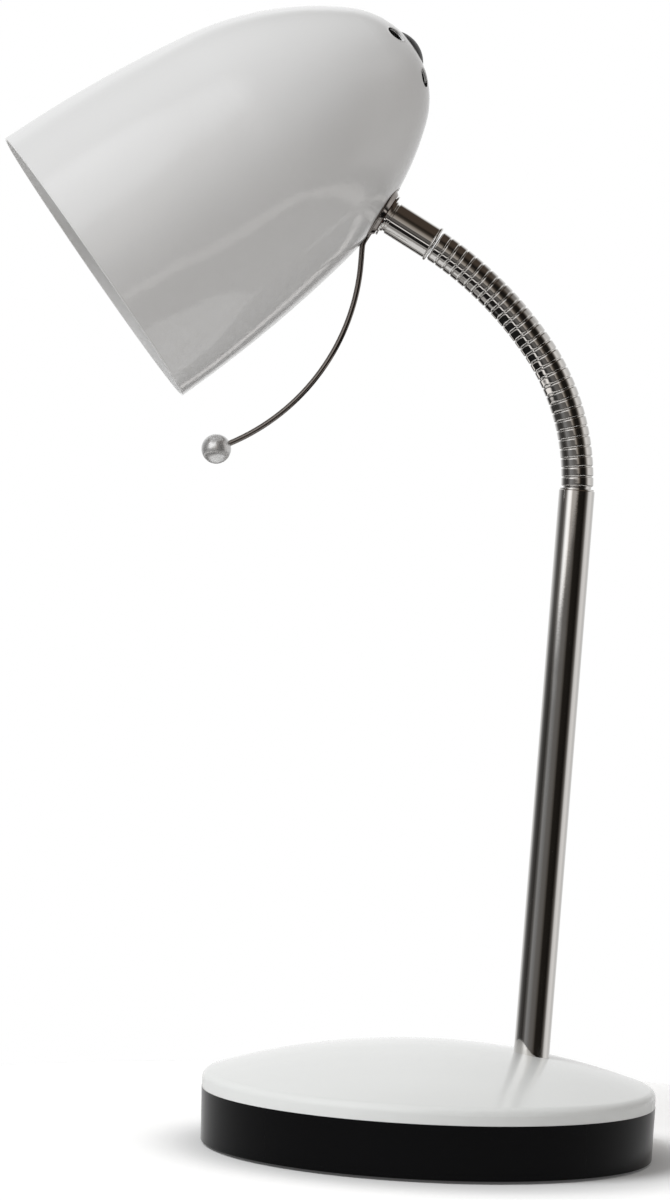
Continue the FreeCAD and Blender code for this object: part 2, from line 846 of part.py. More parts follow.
def holder_cap():
    """The lampholder's domed back half, tapped for the stud."""
    seat = holder_seat()
    low = seat - holder_cap_height
    wall = 2.0
    shoulder = holder_cap_radius - wall
    outer = (
        Outline(holder_stud_radius, low)
        .to(holder_cap_radius, low)
        .to(holder_cap_radius, low + holder_cap_height / 3)
        .to(holder_cap_radius - wall, seat - wall)
        .to(holder_cap_radius - 2 * wall, seat)
        .to(holder_stud_radius, seat)
        .turned()
    )
    hollow = rod(shoulder - wall, low - 1, seat - holder_cap_height / 2)
    return outer.cut(hollow)


def holder_body():
    """The lampholder's front half: a smooth barrel with a narrower ribbed mouth, bored for the sleeve."""
    high = holder_seat() - holder_cap_height
    low = high - holder_body_height
    band = low + holder_mouth_band
    body = (
        Outline(0, high)
        .to(0, high - holder_floor)
        .to(sleeve_bore + sleeve_wall, high - holder_floor)
        .to(sleeve_bore + sleeve_wall, low)
        .to(holder_mouth_radius, low)
        .to(holder_mouth_radius, band)
        .to(holder_body_radius, band + 2)
        .to(holder_body_radius, high)
        .turned()
    )
    return body


def holder_sleeve():
    """The threaded metal sleeve that takes the bulb's cap."""
    high = holder_seat() - holder_cap_height - holder_floor
    low = high - holder_body_height + holder_floor + 1.5
    return ring(sleeve_bore, sleeve_bore + sleeve_wall, low, high)


def holder_contact():
    """The spring contact at the bottom of the lampholder: a bent tongue under the bulb's tip."""
    high = holder_seat() - holder_cap_height - holder_floor
    low = high - contact_height
    half = contact_radius
    foot = Part.makeBox(3 * half, 2 * half, contact_thickness, Vector(-half, -half, high - contact_thickness))
    tongue = Part.makeBox(2 * half, 2 * half, contact_thickness, Vector(-half, -half, low))
    web = Part.makeBox(
        contact_thickness, 2 * half, contact_height, Vector(-half, -half, low)
    )
    return foot.fuse([tongue, web]).removeSplitter()


def bulb_frame_height():
    """The height of the bulb's contact tip."""
    return holder_seat() - holder_cap_height - holder_floor - contact_height


def bulb_cap():
    """The bulb's metal cap: a rolled thread over a shell, a black insulator's cone and a tip."""
    tip = bulb_frame_height()
    top = tip - bulb_tip_height
    bottom = top - bulb_cap_length
    root = bulb_cap_radius - bulb_cap_rib_depth
    outline = Outline(0, tip).to(bulb_tip_radius * 0.6, tip).to(bulb_tip_radius, top).to(root, top - 1)
    for index in range(4):
        start = top - 2 - index * bulb_cap_rib_pitch
        outline.to(root, start)
        outline.to(bulb_cap_radius, start - bulb_cap_rib_pitch * 0.35)
        outline.to(bulb_cap_radius, start - bulb_cap_rib_pitch * 0.55)
        outline.to(root, start - bulb_cap_rib_pitch * 0.9)
    outline.to(root, bottom + 3).to(bulb_cap_radius, bottom).to(bulb_cap_radius - 1, bottom)
    outline.to(root - 1, bottom + 3).to(root - 1, top - 2).to(0, top - 2)
    return outline.turned()


def bulb_glass():
    """The bulb's opal glass: a ball drawn into a neck that is cemented in the cap."""
    outer = bulb_form(0)
    return outer.cut(bulb_form(bulb_wall))


def bulb_form(offset):
    """The solid under the glass, or under its inner surface: a ball blended into a neck."""
    stem = bulb_cap_radius - bulb_cap_rib_depth - 1
    cap_low = bulb_frame_height() - bulb_tip_height - bulb_cap_length
    ball = (0, cap_low - bulb_reach + bulb_radius)
    reach = bulb_radius + bulb_blend_radius
    across = bulb_neck_radius + bulb_blend_radius
    blend = (across, ball[1] + math.sqrt(reach**2 - across**2))
    meeting = math.degrees(math.acos(across / reach))
    outline = Outline(0, cap_low + bulb_stem_length - offset).to(stem - offset, cap_low + bulb_stem_length - offset)
    outline.to(stem - offset, cap_low)
    outline.to(bulb_neck_radius - offset, cap_low - (bulb_neck_radius - stem))
    outline.around(blend, bulb_blend_radius + offset, 180, 180 + meeting)
    outline.around(ball, bulb_radius - offset, meeting, -90)
    return outline.turned()


# -------------------------------------------------------------------------------------------- assembly


def collar_frame():
    """The collar's frame in the lamp's: its origin on the last joint, Z towards the shade."""
    return neck_frames()[-1]


def swivel_frame():
    """The seat's frame in the lamp's."""
    seat = collar_frame().multiply(shift(0, 0, collar_length + collar_low))
    return seat.multiply(tilt(180)).multiply(spin(swivel_rest))


def shade_frame():
    """The shade's frame in the lamp's."""
    return swivel_frame().multiply(seat_frame().inverse())


def all_parts():
    """Every part in its place, by name."""
    parts = {
        "base_pad": base_pad(),
        "plinth": plinth(),
        "base_cover": base_cover(),
        "ballast": ballast(),
        "base_screws": base_screws(),
        "cord_inlet": cord_inlet(),
        "stem_stud": stem_stud(),
        "stem_washer": stem_washer(),
        "stem_nut": stem_nut(),
        "stem_tube": stem_tube(),
        "neck_root": neck_root(),
    }
    link = neck_link()
    frames = neck_frames()
    for index in range(neck_link_count):
        parts[f"neck_link_{index + 1:02d}"] = placed(link, frames[index])
    parts["neck_collar"] = placed(neck_collar(), collar_frame())
    seated = {
        "swivel_disc": washer(swivel_disc_radius, disc_low, swivel_disc_thickness),
        "fibre_washer": washer(fibre_washer_radius, fibre_low, fibre_washer_thickness),
        "shade_cup": shade_cup(),
        "handle_wire": handle_wire(),
        "handle_ball": handle_ball(),
        "packing_washer": washer(packing_washer_radius, packing_low, packing_washer_thickness),
        "spring_washer": washer(packing_washer_radius, swivel_nut_high, packing_washer_thickness),
        "swivel_nut": nut(
            swivel_nut_flats, swivel_stud_radius, swivel_nut_high - swivel_nut_height, swivel_nut_high
        ),
        "swivel_stud": swivel_stud(),
    }
    for name, shape in seated.items():
        parts[name] = placed(shape, swivel_frame())
    carried = {
        "shade": shade(),
        "crown_plug": crown_plug(),
        "holder_bracket": holder_bracket(),
        "holder_stud": holder_stud(),
        "holder_nut": holder_nut(),
        "holder_cap": holder_cap(),
        "holder_body": holder_body(),
        "holder_sleeve": holder_sleeve(),
        "holder_contact": holder_contact(),
        "bulb_cap": bulb_cap(),
        "bulb_glass": bulb_glass(),
    }
    for name, shape in carried.items():
        parts[name] = placed(shape, shade_frame())
    return parts


os.makedirs("parts", exist_ok=True)
for part_name, part_shape in all_parts().items():
    part_shape.exportStep(f"parts/{part_name}.step")
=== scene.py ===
"""The looks of a gooseneck desk lamp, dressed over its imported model."""

import json
import logging
import math
from dataclasses import dataclass
from enum import Enum
from typing import ClassVar

import bmesh
import bpy
from mathutils import Matrix, Vector


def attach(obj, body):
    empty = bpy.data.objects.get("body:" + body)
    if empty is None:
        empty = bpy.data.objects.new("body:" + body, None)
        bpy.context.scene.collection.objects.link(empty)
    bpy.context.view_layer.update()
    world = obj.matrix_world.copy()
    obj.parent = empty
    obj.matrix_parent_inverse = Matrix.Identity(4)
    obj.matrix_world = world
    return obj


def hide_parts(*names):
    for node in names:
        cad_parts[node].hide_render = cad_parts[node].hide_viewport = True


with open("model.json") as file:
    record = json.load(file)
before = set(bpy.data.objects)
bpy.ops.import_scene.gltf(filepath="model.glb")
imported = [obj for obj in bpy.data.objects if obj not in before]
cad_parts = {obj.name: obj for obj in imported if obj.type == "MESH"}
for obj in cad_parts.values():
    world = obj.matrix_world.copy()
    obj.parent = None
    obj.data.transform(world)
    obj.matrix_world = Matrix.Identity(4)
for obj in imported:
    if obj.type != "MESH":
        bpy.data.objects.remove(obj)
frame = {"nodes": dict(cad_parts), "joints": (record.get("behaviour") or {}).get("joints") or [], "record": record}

log = logging.getLogger("desk_lamp")

MM = 0.001

# The shade's own frame: the middle of its mouth, in millimetres, its axis towards the crown and its X axis.
SHADE_MOUTH_MM = (-131.17662, -2.73108, 306.34705)
SHADE_AXIS = (0.79386635, 0.03536229, 0.6070632)
SHADE_SIDE = (0.60779512, -0.01493762, -0.79395337)

# Angles in degrees past which an edge stays sharp.
SHARP_ON_PLAIN = 35.0
SHARP_ON_TURNED = 60.0
SHARP_ON_ROUND = 80.0

# The stretch of a relief that is drawn out along no axis.
EVEN = (1.0, 1.0, 1.0)

WHITE = (1.0, 1.0, 1.0)
DEGREES_ROUND = 360.0

Triple = tuple[float, float, float]
Pair = tuple[float, float]


def opaque(colour: Triple) -> tuple[float, float, float, float]:
    """Adds full alpha to a colour.

    Args:
        colour: red, green and blue.

    Returns:
        The colour with its alpha.
    """
    return (*colour, 1.0)


class Grain(Enum):
    """The fine relief of a surface."""

    SPRAYED = "sprayed_skin"
    MOULDED = "moulded_skin"
    TURNED = "turned_lines"
    CAST = "cast_skin"


class Graph:
    """A short way to add and join the nodes of one tree."""

    NUMBER_RESULTS: ClassVar[tuple[str, ...]] = ("DOT_PRODUCT", "DISTANCE")

    def __init__(self, tree: bpy.types.NodeTree) -> None:
        """Starts on an emptied tree.

        Args:
            tree: the tree to build in.
        """
        self.tree = tree
        tree.nodes.clear()

    def add(self, kind: str, **inputs: object) -> bpy.types.Node:
        """Adds a node.

        Args:
            kind: the node's type name.
            inputs: values or output sockets for its inputs, by name with _ for a space.

        Returns:
            The new node.
        """
        node = self.tree.nodes.new(kind)
        for name, value in inputs.items():
            self.feed(node.inputs[name.replace("_", " ")], value)
        return node

    def feed(self, socket: bpy.types.NodeSocket, value: object) -> None:
        """Joins an output to an input, or sets the input's value.

        Args:
            socket: the input.
            value: an output socket, or a constant.
        """
        if isinstance(value, bpy.types.NodeSocket):
            self.tree.links.new(value, socket)
        else:
            socket.default_value = value

    def maths(self, operation: str, first: object, second: object = 0.0) -> bpy.types.NodeSocket:
        """Adds a sum on one or two numbers.

        Args:
            operation: the Math node's operation.
            first: the first number or output.
            second: the second number or output.

        Returns:
            The result's socket.
        """
        node = self.tree.nodes.new("ShaderNodeMath")
        node.operation = operation
        self.feed(node.inputs[0], first)
        self.feed(node.inputs[1], second)
        return node.outputs[0]

    def vectors(self, operation: str, first: object, second: object) -> bpy.types.NodeSocket:
        """Adds a sum on vectors.

        Args:
            operation: the Vector Math node's operation.
            first: the first vector or output.
            second: the second vector or output, or the factor where the operation scales.

        Returns:
            The result's socket.
        """
        node = self.tree.nodes.new("ShaderNodeVectorMath")
        node.operation = operation
        self.feed(node.inputs[0], first)
        self.feed(node.inputs["Scale" if operation == "SCALE" else 1], second)
        return node.outputs["Value" if operation in self.NUMBER_RESULTS else "Vector"]

    def noise(self, scale: object, detail: float, vector: bpy.types.NodeSocket) -> bpy.types.NodeSocket:
        """Adds a noise texture.

        Args:
            scale: features to a metre.
            detail: octaves.
            vector: where to read it.

        Returns:
            The noise's value.
        """
        return self.add("ShaderNodeTexNoise", Vector=vector, Scale=scale, Detail=detail).outputs[0]

    def span(
        self,
        value: object,
        source: Pair = (0.0, 1.0),
        target: tuple[object, object] = (0.0, 1.0),
        smooth: bool = False,
    ) -> bpy.types.NodeSocket:
        """Carries a value from one range to another, and holds it at the ends.

        Args:
            value: the value.
            source: where the first range starts and ends.
            target: where the second range starts and ends.
            smooth: whether it eases in and out.

        Returns:
            The carried value's socket.
        """
        node = self.add("ShaderNodeMapRange", Value=value)
        node.interpolation_type = "SMOOTHSTEP" if smooth else "LINEAR"
        for name, end in zip(("From Min", "From Max", "To Min", "To Max"), (*source, *target)):
            self.feed(node.inputs[name], end)
        return node.outputs[0]

    def mix(self, share: object, first: object, second: object) -> bpy.types.NodeSocket:
        """Mixes two colours.

        Args:
            share: the second colour's share.
            first: the first colour.
            second: the second colour.

        Returns:
            The mixed colour's socket.
        """
        node = self.tree.nodes.new("ShaderNodeMix")
        node.data_type = "RGBA"
        self.feed(node.inputs[0], share)
        self.feed(node.inputs[6], first)
        self.feed(node.inputs[7], second)
        return node.outputs[2]

    def ramp(self, place: object, stops: list[tuple[float, Triple]]) -> bpy.types.NodeSocket:
        """Adds a colour ramp.

        Args:
            place: where to read it.
            stops: the position and colour of each stop.

        Returns:
            The colour's socket.
        """
        node = self.add("ShaderNodeValToRGB", Fac=place)
        elements = node.color_ramp.elements
        for index, (position, colour) in enumerate(stops):
            stop = elements[0] if index == 0 else elements.new(position)
            stop.position = position
            stop.color = opaque(colour)
        while len(elements) > len(stops):
            elements.remove(elements[-1])
        return node.outputs[0]

    def place_group(self, group: bpy.types.NodeTree, *values: object) -> bpy.types.NodeSocket:
        """Adds a node group with its own values.

        Args:
            group: the group.
            values: the values of its inputs, in order.

        Returns:
            The group's output.
        """
        node = self.tree.nodes.new("ShaderNodeGroup")
        node.node_tree = group
        for socket, value in zip(node.inputs, values):
            self.feed(socket, value)
        return node.outputs[0]


class SurfaceGroups:
    """The shader node groups that the finishes share."""

    DRIFT_DETAIL: ClassVar[float] = 2.0
    SMEAR_STRETCH: ClassVar[Triple] = (1.0, 1.0, 0.45)
    SMEAR_DETAIL: ClassVar[float] = 4.0
    SMEAR_DISTORTION: ClassVar[float] = 0.6
    SMEAR_RANGE: ClassVar[Pair] = (0.42, 0.72)
    LINE_STRETCH: ClassVar[Triple] = (1.0, 1.0, 14.0)
    SWELL_SCALE: ClassVar[float] = 34.0
    SWELL_DETAIL: ClassVar[float] = 1.0

    def __init__(self) -> None:
        """Builds each group once."""
        self.drift = self._colour_drift()
        self.marks = self._handling_marks()
        self.relief = {
            Grain.SPRAYED: self._relief(Grain.SPRAYED, 420.0, 1.5, swell=14.0),
            Grain.MOULDED: self._relief(Grain.MOULDED, 1400.0, 3.0),
            Grain.TURNED: self._relief(Grain.TURNED, 260.0, 2.0, stretch=self.LINE_STRETCH),
            Grain.CAST: self._relief(Grain.CAST, 700.0, 5.0),
        }

    @staticmethod
    def _start(
        name: str, inputs: tuple[tuple[str, str], ...], output: tuple[str, str]
    ) -> tuple[bpy.types.NodeTree, Graph, bpy.types.Node, bpy.types.Node]:
        """Makes an empty group with its sockets.

        Args:
            name: the group's name.
            inputs: the names and types of its inputs.
            output: the name and type of its output.

        Returns:
            The group, its builder, its input node and its output node.
        """
        group = bpy.data.node_groups.new(name, "ShaderNodeTree")
        for label, kind in inputs:
            group.interface.new_socket(name=label, in_out="INPUT", socket_type=kind)
        group.interface.new_socket(name=output[0], in_out="OUTPUT", socket_type=output[1])
        graph = Graph(group)
        return group, graph, graph.add("NodeGroupInput"), graph.add("NodeGroupOutput")

    def _colour_drift(self) -> bpy.types.NodeTree:
        """Builds a colour that wanders a little over the surface, as sprayed or plated skins do.

        Returns:
            The group.
        """
        group, graph, start, end = self._start(
            "colour_drift",
            (("Colour", "NodeSocketColor"), ("Amount", "NodeSocketFloat"), ("Scale", "NodeSocketFloat")),
            ("Colour", "NodeSocketColor"),
        )
        place = graph.add("ShaderNodeTexCoord").outputs["Object"]
        broad = graph.noise(start.outputs["Scale"], self.DRIFT_DETAIL, place)
        keep = graph.maths("SUBTRACT", 1.0, graph.maths("MULTIPLY", broad, start.outputs["Amount"]))
        graph.feed(end.inputs[0], graph.vectors("SCALE", start.outputs["Colour"], keep))
        return group

    def _handling_marks(self) -> bpy.types.NodeTree:
        """Builds faint smears that dull a gloss in patches.

        Returns:
            The group.
        """
        group, graph, start, end = self._start(
            "handling_marks",
            (("Gloss", "NodeSocketFloat"), ("Dulled", "NodeSocketFloat"), ("Scale", "NodeSocketFloat")),
            ("Roughness", "NodeSocketFloat"),
        )
        place = graph.add("ShaderNodeTexCoord").outputs["Object"]
        stretched = graph.add("ShaderNodeMapping", Vector=place, Scale=self.SMEAR_STRETCH)
        smears = graph.add(
            "ShaderNodeTexNoise",
            Vector=stretched.outputs[0],
            Scale=start.outputs["Scale"],
            Detail=self.SMEAR_DETAIL,
            Distortion=self.SMEAR_DISTORTION,
        )
        roughness = (start.outputs["Gloss"], start.outputs["Dulled"])
        graph.feed(end.inputs[0], graph.span(smears.outputs[0], self.SMEAR_RANGE, roughness))
        return group

    def _relief(
        self, grain: Grain, scale: float, detail: float, stretch: Triple = EVEN, swell: float = 0.0
    ) -> bpy.types.NodeTree:
        """Builds a fine relief for a bump.

        Args:
            grain: which relief it is.
            scale: features to a metre.
            detail: octaves.
            stretch: how the relief is drawn out along each axis.
            swell: how strong the broad swell under it is, as pressed sheet has.

        Returns:
            The group.
        """
        group, graph, start, end = self._start(
            grain.value, (("Depth", "NodeSocketFloat"),), ("Height", "NodeSocketFloat")
        )
        place = graph.add("ShaderNodeTexCoord").outputs["Object"]
        drawn = graph.add("ShaderNodeMapping", Vector=place, Scale=stretch)
        value = graph.noise(scale, detail, drawn.outputs[0])
        if swell:
            broad = graph.noise(self.SWELL_SCALE, self.SWELL_DETAIL, place)
            value = graph.maths("ADD", value, graph.maths("MULTIPLY", broad, swell))
        graph.feed(end.inputs[0], graph.maths("MULTIPLY", value, start.outputs["Depth"]))
        return group


@dataclass(frozen=True)
class Finish:
    """A finish: its colour, gloss and fine relief, with the relief's depth in millimetres."""

    COAT_ROUGHNESS: ClassVar[float] = 0.05

    name: str
    colour: Triple
    gloss: float
    dulled: float
    metallic: float = 0.0
    coat: float = 0.0
    drift: float = 0.04
    drift_scale: float = 14.0
    mark_scale: float = 40.0
    grain: Grain = Grain.SPRAYED
    grain_depth: float = 0.01
    specular: float = 0.5

    def material(self, groups: SurfaceGroups) -> bpy.types.Material:
        """Builds the material.

        Args:
            groups: the shared node groups.

        Returns:
            The material.
        """
        made = bpy.data.materials.new(self.name)
        made.use_nodes = True
        graph = Graph(made.node_tree)
        end = graph.add("ShaderNodeOutputMaterial")
        skin = graph.add(
            "ShaderNodeBsdfPrincipled",
            Metallic=self.metallic,
            Coat_Weight=self.coat,
            Coat_Roughness=self.COAT_ROUGHNESS,
            Specular_IOR_Level=self.specular,
        )
        colour = graph.place_group(groups.drift, self.tint(graph), self.drift, self.drift_scale)
        graph.feed(skin.inputs["Base Color"], colour)
        roughness = graph.place_group(groups.marks, self.gloss, self.dulled, self.mark_scale)
        graph.feed(skin.inputs["Roughness"], roughness)
        relief = graph.place_group(groups.relief[self.grain], 1.0)
        bump = graph.add("ShaderNodeBump", Strength=1.0, Distance=self.grain_depth * MM, Height=relief)
        graph.feed(skin.inputs["Normal"], bump.outputs[0])
        graph.feed(end.inputs["Surface"], skin.outputs[0])
        self.refine(skin)
        return made

    def tint(self, graph: Graph) -> object:
        """Gives the finish's colour before it drifts.

        Args:
            graph: the material's builder.

        Returns:
            A colour, or the output that gives it.
        """
        return opaque(self.colour)

    def refine(self, skin: bpy.types.Node) -> None:
        """Changes the shader further, for a finish that needs it.

        Args:
            skin: the shader's node.
        """


@dataclass(frozen=True)
class OpalFinish(Finish):
    """White glass that light wanders in."""

    wander: float = 0.35
    wander_by_colour: Triple = (1.0, 0.9, 0.8)
    wander_depth: float = 0.004

    def refine(self, skin: bpy.types.Node) -> None:
        """Lets light wander under the surface.

        Args:
            skin: the shader's node.
        """
        skin.inputs["Subsurface Weight"].default_value = self.wander
        skin.inputs["Subsurface Radius"].default_value = self.wander_by_colour
        skin.inputs["Subsurface Scale"].default_value = self.wander_depth


@dataclass(frozen=True)
class ShadeFinish(Finish):
    """White gloss paint with painted shade: the inside of the crown is coloured black, so it reads dark through
    the vents.
    """

    # Painted shade: the black given to the inside of the crown, and the depths along the axis over which it sets
    # in.
    crown_painted_shade: Triple = (0.004, 0.004, 0.004)
    crown_shade_depths: Pair = (0.088, 0.100)

    def tint(self, graph: Graph) -> object:
        """Paints shade on the inside of the crown: it turns black by the side that the surface faces and how deep
        it lies.

        Args:
            graph: the material's builder.

        Returns:
            The output that gives the colour.
        """
        place = graph.add("ShaderNodeTexCoord")
        mouth = [part * MM for part in SHADE_MOUTH_MM]
        arm = graph.vectors("SUBTRACT", place.outputs["Object"], mouth)
        depth = graph.vectors("DOT_PRODUCT", arm, SHADE_AXIS)
        outward = graph.vectors("SUBTRACT", arm, graph.vectors("SCALE", SHADE_AXIS, depth))
        facing = graph.vectors("DOT_PRODUCT", outward, place.outputs["Normal"])
        inside = graph.maths("LESS_THAN", facing, 0.0)
        # painted shade: inside faces deep in the crown turn black, standing for the shade there
        crown_shade_share = graph.maths("MULTIPLY", inside, graph.span(depth, self.crown_shade_depths))
        return graph.mix(crown_shade_share, opaque(self.colour), opaque(self.crown_painted_shade))


def plated(
    name: str, colour: Triple, gloss: float, dulled: float, drift: float, metallic: float = 1.0
) -> Finish:
    """Makes a smooth plated finish.

    Args:
        name: the material's name.
        colour: its colour.
        gloss: its roughness where it is clean.
        dulled: its roughness where it is smeared.
        drift: how far its colour wanders.
        metallic: how metallic it is.

    Returns:
        The finish.
    """
    return Finish(
        name,
        colour,
        gloss,
        dulled,
        metallic=metallic,
        drift=drift,
        mark_scale=90.0,
        grain=Grain.MOULDED,
        grain_depth=0.002,
    )


FINISHES: dict[str, Finish] = {
    # The shade's white carries painted shade inside the crown.
    "shade_white": ShadeFinish(
        "shade_white_gloss", (0.82, 0.822, 0.823), 0.05, 0.09,
        drift=0.035, grain_depth=0.04, specular=0.6),
    "cover_white": Finish(
        "cover_white_gloss", (0.80, 0.81, 0.80), 0.10, 0.16,
        drift=0.03, grain_depth=0.012, specular=0.22),
    "chrome": plated("bright_chrome", (0.80, 0.785, 0.765), 0.035, 0.09, drift=0.05),
    "plinth_black": Finish(
        "plinth_black_gloss", (0.003, 0.003, 0.0034), 0.12, 0.2,
        drift=0.2, grain=Grain.MOULDED, grain_depth=0.006, specular=0.06),
    "rubber": Finish(
        "pad_rubber", (0.035, 0.035, 0.036), 0.7, 0.85,
        drift=0.25, grain=Grain.CAST, grain_depth=0.05),
    "ballast_iron": Finish(
        "ballast_cast_iron", (0.12, 0.12, 0.12), 0.6, 0.8,
        metallic=0.6, drift=0.3, grain=Grain.CAST, grain_depth=0.2),
    "zinc": Finish(
        "zinc_plate", (0.58, 0.58, 0.57), 0.24, 0.4,
        metallic=1.0, drift=0.18, drift_scale=120.0, grain=Grain.TURNED, grain_depth=0.02),
    "nickel": Finish(
        "satin_nickel", (0.68, 0.68, 0.66), 0.26, 0.34,
        metallic=1.0, drift=0.06, grain=Grain.MOULDED, grain_depth=0.02),
    "black_plastic": Finish(
        "black_plastic", (0.004, 0.004, 0.004), 0.3, 0.42,
        specular=0.25, drift=0.2, grain=Grain.MOULDED, grain_depth=0.02),
    "fibre": Finish(
        "red_fibre", (0.30, 0.09, 0.05), 0.65, 0.8,
        drift=0.3, drift_scale=300.0, grain=Grain.CAST, grain_depth=0.03),
    "holder_plastic": Finish(
        "holder_black", (0.022, 0.022, 0.023), 0.32, 0.45,
        drift=0.2, grain=Grain.MOULDED, grain_depth=0.03),
    "brass": Finish(
        "contact_brass", (0.72, 0.52, 0.24), 0.2, 0.35,
        metallic=1.0, drift=0.15, grain=Grain.TURNED, grain_depth=0.01),
    "cap_metal": Finish(
        "rolled_aluminium", (0.76, 0.76, 0.76), 0.2, 0.34,
        metallic=1.0, drift=0.1, grain=Grain.TURNED, grain_depth=0.02),
    # Painted shade: darker copies of chrome for the wire, the cup and the dark bead.
    "shade_darkened_chrome": plated("wire_chrome_painted_shade", (0.24, 0.215, 0.20), 0.08, 0.15, drift=0.08),
    "shade_darkened_cup_chrome": plated("cup_chrome_painted_shade", (0.38, 0.35, 0.33), 0.05, 0.1, drift=0.08),
    "satin_chrome": plated("satin_chrome", (0.84, 0.84, 0.84), 0.26, 0.31, drift=0.03, metallic=0.72),
    "opal_glass": OpalFinish(
        "opal_glass", (0.90, 0.90, 0.87), 0.12, 0.2,
        coat=0.3, drift=0.02, grain_depth=0.01),
}

# Nodes that get another finish than the slot that the record gives them: the wire and the cup get darker copies of
# chrome as painted shade, and the ball a satin plating.
NODE_FINISHES = {
    "shade_cup": "shade_darkened_cup_chrome",
    "handle_wire": "shade_darkened_chrome",
    "handle_ball": "satin_chrome",
}


class Palette:
    """Every finish on the lamp, each made once."""

    def __init__(self) -> None:
        """Builds the materials."""
        groups = SurfaceGroups()
        self.materials = {slot: finish.material(groups) for slot, finish in FINISHES.items()}

    def dress(self, piece: bpy.types.Object, finish: str) -> None:
        """Gives a piece one finish all over.

        Args:
            piece: the object.
            finish: the finish's key.
        """
        piece.data.materials.clear()
        piece.data.materials.append(self.materials[finish])

    def dress_nodes(self) -> None:
        """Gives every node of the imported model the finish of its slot, or its own."""
        slots = {part["node"]: part["material_slot"] for part in frame["record"]["subparts"]}
        for name, node in frame["nodes"].items():
            finish = NODE_FINISHES.get(name, slots[name])
            self.dress(node, finish)
            log.info("node %s: %s", name, finish)


def finished_mesh(name: str, shape: bmesh.types.BMesh, sharp: float = SHARP_ON_PLAIN) -> bpy.types.Object:
    """Makes an object of a finished shape, shaded smooth but for its sharp edges.

    Args:
        name: the piece's name.
        shape: the shape, which is freed.
        sharp: the angle in degrees past which an edge stays sharp.

    Returns:
        The object, at the origin.
    """
    bmesh.ops.recalc_face_normals(shape, faces=shape.faces[:])
    mesh = bpy.data.meshes.new(name)
    shape.to_mesh(mesh)
    shape.free()
    for face in mesh.polygons:
        face.use_smooth = True
    mesh.set_sharp_from_angle(angle=math.radians(sharp))
    piece = bpy.data.objects.new(name, mesh)
    bpy.context.scene.collection.objects.link(piece)
    return piece


def spun(profile: list[Pair], steps: int, closed: bool = False, gap: float = 0.0) -> bmesh.types.BMesh:
    """Spins a profile round the Z axis.

    Args:
        profile: radius and height of each point, in millimetres.
        steps: faces round the axis.
        closed: whether the last point joins the first.
        gap: the angle left open, in radians; its ends are capped.

    Returns:
        The spun shape, in metres.
    """
    shape = bmesh.new()
    line = [shape.verts.new((radius * MM, 0.0, height * MM)) for radius, height in profile]
    pairs = list(zip(line, line[1:]))
    if closed:
        pairs.append((line[-1], line[0]))
    edges = [shape.edges.new(pair) for pair in pairs]
    bmesh.ops.spin(
        shape,
        geom=line + edges,
        axis=(0.0, 0.0, 1.0),
        cent=(0.0, 0.0, 0.0),
        angle=math.tau - gap,
        steps=steps,
        use_merge=not gap,
    )
    if gap:
        bmesh.ops.holes_fill(shape, edges=shape.edges[:], sides=0)
    return shape


def circle(centre: Pair, radius: float, count: int) -> list[Pair]:
    """Gives the points of a round section.

    Args:
        centre: its middle, as radius and height in millimetres.
        radius: its radius in millimetres.
        count: how many points.

    Returns:
        The points.
    """
    turns = [math.tau * index / count for index in range(count)]
    return [(centre[0] + radius * math.cos(turn), centre[1] + radius * math.sin(turn)) for turn in turns]


def frame_at(place: Vector, along: Vector, across: Vector) -> Matrix:
    """Makes a frame from its place, its Z axis and a rough X axis.

    Args:
        place: the origin.
        along: the Z axis.
        across: a direction near the X axis.

    Returns:
        The frame as a matrix.
    """
    up = along.normalized()
    side = up.cross(across).normalized()
    front = side.cross(up)
    turned = Matrix((front, side, up)).transposed().to_4x4()
    turned.translation = place
    return turned


